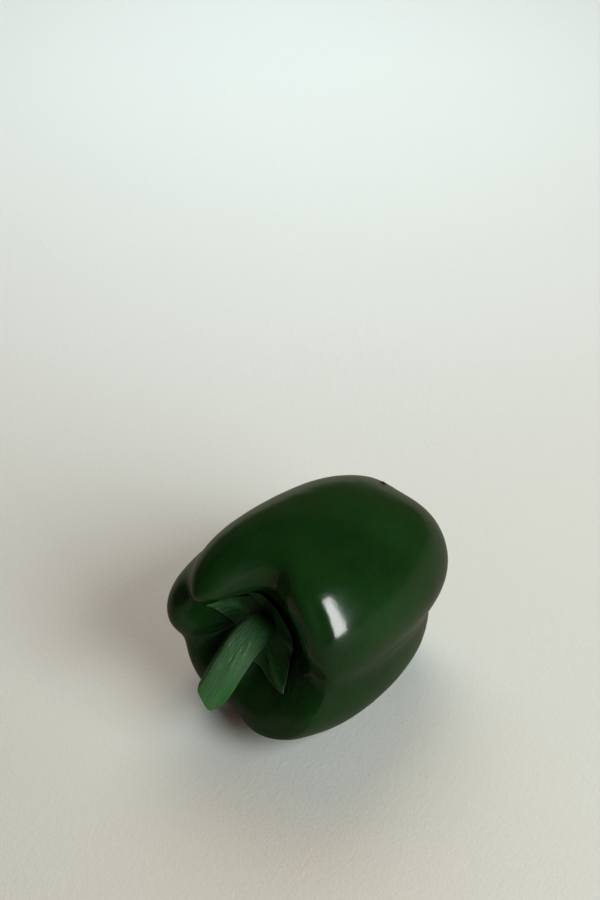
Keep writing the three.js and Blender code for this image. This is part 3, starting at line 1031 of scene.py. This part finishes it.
class PEPPER_OT_stem(bpy.types.Operator):
    """Makes the bent stem."""

    bl_idname = "pepper.stem"
    bl_label = "Make the stem"

    def execute(self, context):
        values = {
            "Radius": context.scene.pepper_shape.stem_radius / MM,
            "Material": stem_material(context.scene.pepper_colours),
        }
        stem = shaped(lattice("stem_stalk", STEM_RINGS, STEM_SIDES), stem_tree(), values)
        settle(stem, "stem")
        return {"FINISHED"}


def view_axes():
    """The camera's right, up and back directions."""
    a = radians(CAMERA_AZIMUTH)
    rise = radians(CAMERA_ELEVATION)
    back = Vector((sin(a) * cos(rise), -cos(a) * cos(rise), sin(rise)))
    right = Vector((cos(a), sin(a), 0))
    return right, back.cross(right), back


def camera_place():
    """Where the camera stands, so that the fruit's middle falls on its pixel of the photograph."""
    right, up, back = view_axes()
    focal_px = CAMERA_LENS * max(FRAME_SIZE_PX) / SENSOR_SIZE
    aside = (FRUIT_MIDDLE_PX[0] - FRAME_SIZE_PX[0] / 2) / focal_px * CAMERA_DISTANCE
    below = (FRUIT_MIDDLE_PX[1] - FRAME_SIZE_PX[1] / 2) / focal_px * CAMERA_DISTANCE
    middle = resting_place() @ Vector((0, 0, 0))
    return middle + back * CAMERA_DISTANCE - right * aside + up * below


def direction(azimuth, elevation):
    """A unit vector towards an azimuth, from +X towards +Y, and an elevation."""
    a = radians(azimuth)
    rise = radians(elevation)
    return Vector((cos(a) * cos(rise), sin(a) * cos(rise), sin(rise)))


def add_light(name, place, aim, size, power, colour):
    """A rectangular soft light that faces a point."""
    data = bpy.data.lights.new(name, "AREA")
    data.shape = "RECTANGLE"
    data.size, data.size_y = size
    data.energy = power
    data.color = colour
    light = bpy.data.objects.new(name, data)
    light.location = place
    light.visible_camera = False
    light.rotation_euler = (aim - place).to_track_quat("-Z", "Y").to_euler()
    bpy.context.scene.collection.objects.link(light)
    return light


def add_floor(colour):
    """A round pale floor whose far edge curves up into a wall all round."""
    sides = FLOOR_SIDES
    profile = [(FLOOR_FLAT * k / FLOOR_RINGS, 0) for k in range(1, FLOOR_RINGS + 1)]
    for degrees in range(FLOOR_BEND_STEP, 91, FLOOR_BEND_STEP):
        a = radians(degrees)
        profile.append((FLOOR_FLAT + FLOOR_BEND * sin(a), FLOOR_BEND * (1 - cos(a))))
    profile.append((FLOOR_FLAT + FLOOR_BEND, FLOOR_WALL_TOP))
    points = [(0, 0, 0)]
    for r, z in profile:
        for j in range(sides):
            a = radians(360 * j / sides)
            points.append((r * cos(a), r * sin(a), z))
    faces = []
    for j in range(sides):
        after = (j + 1) % sides
        faces.append((0, 1 + j, 1 + after))
        for i in range(len(profile) - 1):
            a = 1 + i * sides
            faces.append((a + j, a + sides + j, a + sides + after, a + after))
    mesh = bpy.data.meshes.new("studio_floor")
    mesh.from_pydata(points, [], faces)
    mesh.shade_smooth()
    mesh.materials.append(paper_material(colour))
    floor = bpy.data.objects.new("studio_floor", mesh)
    bpy.context.scene.collection.objects.link(floor)


def add_lights(studio):
    """Three lamps that light the floor, and a panel that only the glossy surfaces mirror."""
    middle = resting_place() @ Vector((0, 0, 0))
    window = middle + direction(*WINDOW["direction"]) * WINDOW["distance"]
    lamp = add_light("window", window, middle, WINDOW["size"], studio.window_power, WINDOW["colour"])
    lamp.visible_glossy = False
    far = Vector(FAR_FLOOR)
    hanging = (("back_light", BACK_LIGHT, studio.back_power), ("warm_light", WARM_LIGHT, studio.warm_power))
    for name, light, power in hanging:
        above = far + Vector((0, 0, light["height"]))
        lamp = add_light(name, above, far, light["size"], power, light["colour"])
        lamp.visible_glossy = False
    panel = middle + direction(*GLINT["direction"]) * GLINT["distance"]
    glint = add_light("glint", panel, middle, GLINT["size"], studio.glint_power, GLINT["colour"])
    glint.visible_diffuse = False


def add_air(strength):
    """A faint even light all round, which glossy surfaces don't mirror."""
    world = bpy.data.worlds.new("studio air")
    world.use_nodes = True
    world.cycles_visibility.glossy = False
    background = world.node_tree.nodes["Background"]
    background.inputs["Color"].default_value = AIR_COLOUR
    background.inputs["Strength"].default_value = strength
    bpy.context.scene.world = world


def add_camera():
    """The camera at the photograph's angle."""
    right, up, back = view_axes()
    data = bpy.data.cameras.new("photo_camera")
    data.lens = CAMERA_LENS
    data.sensor_width = SENSOR_SIZE
    data.sensor_fit = "AUTO"
    data.clip_start = NEAREST_SEEN
    camera = bpy.data.objects.new("photo_camera", data)
    turned = Matrix((right, up, back)).transposed().to_4x4()
    camera.matrix_world = Matrix.Translation(camera_place()) @ turned
    bpy.context.scene.collection.objects.link(camera)
    bpy.context.scene.camera = camera


class PEPPER_OT_studio(bpy.types.Operator):
    """Makes the floor, the lights and the camera."""

    bl_idname = "pepper.studio"
    bl_label = "Make the studio"

    def execute(self, context):
        studio = context.scene.pepper_studio
        add_floor(studio.floor)
        add_lights(studio)
        add_air(studio.sky)
        context.scene.view_settings.view_transform = "Standard"
        add_camera()
        return {"FINISHED"}


class PEPPER_PT_panel(bpy.types.Panel):
    """Lists what the add-on makes, and the sizes and colours it uses."""

    bl_label = "Bell Pepper"
    bl_space_type = "VIEW_3D"
    bl_region_type = "UI"
    bl_category = "Pepper"

    def draw(self, context):
        column = self.layout.column()
        for operator in OPERATORS:
            column.operator(operator.bl_idname)
        for group in (context.scene.pepper_shape, context.scene.pepper_colours, context.scene.pepper_studio):
            for name in group.bl_rna.properties.keys():
                if name not in {"rna_type", "name"}:
                    column.prop(group, name)


OPERATORS = (PEPPER_OT_fruit, PEPPER_OT_calyx, PEPPER_OT_stem, PEPPER_OT_studio)
CLASSES = (PepperColours, PepperShape, StudioSettings, PEPPER_PT_panel) + OPERATORS


def register():
    for each in CLASSES:
        bpy.utils.register_class(each)
    bpy.types.Scene.pepper_colours = bpy.props.PointerProperty(type=PepperColours)
    bpy.types.Scene.pepper_shape = bpy.props.PointerProperty(type=PepperShape)
    bpy.types.Scene.pepper_studio = bpy.props.PointerProperty(type=StudioSettings)


def unregister():
    for name in ("pepper_colours", "pepper_shape", "pepper_studio"):
        delattr(bpy.types.Scene, name)
    for each in reversed(CLASSES):
        bpy.utils.unregister_class(each)


def main():
    register()
    bpy.ops.pepper.fruit()
    bpy.ops.pepper.calyx()
    bpy.ops.pepper.stem()
    bpy.ops.pepper.studio()
    bpy.data.objects.remove(bpy.data.objects[RAW_FRUIT])


if __name__ == "__main__":
    main()
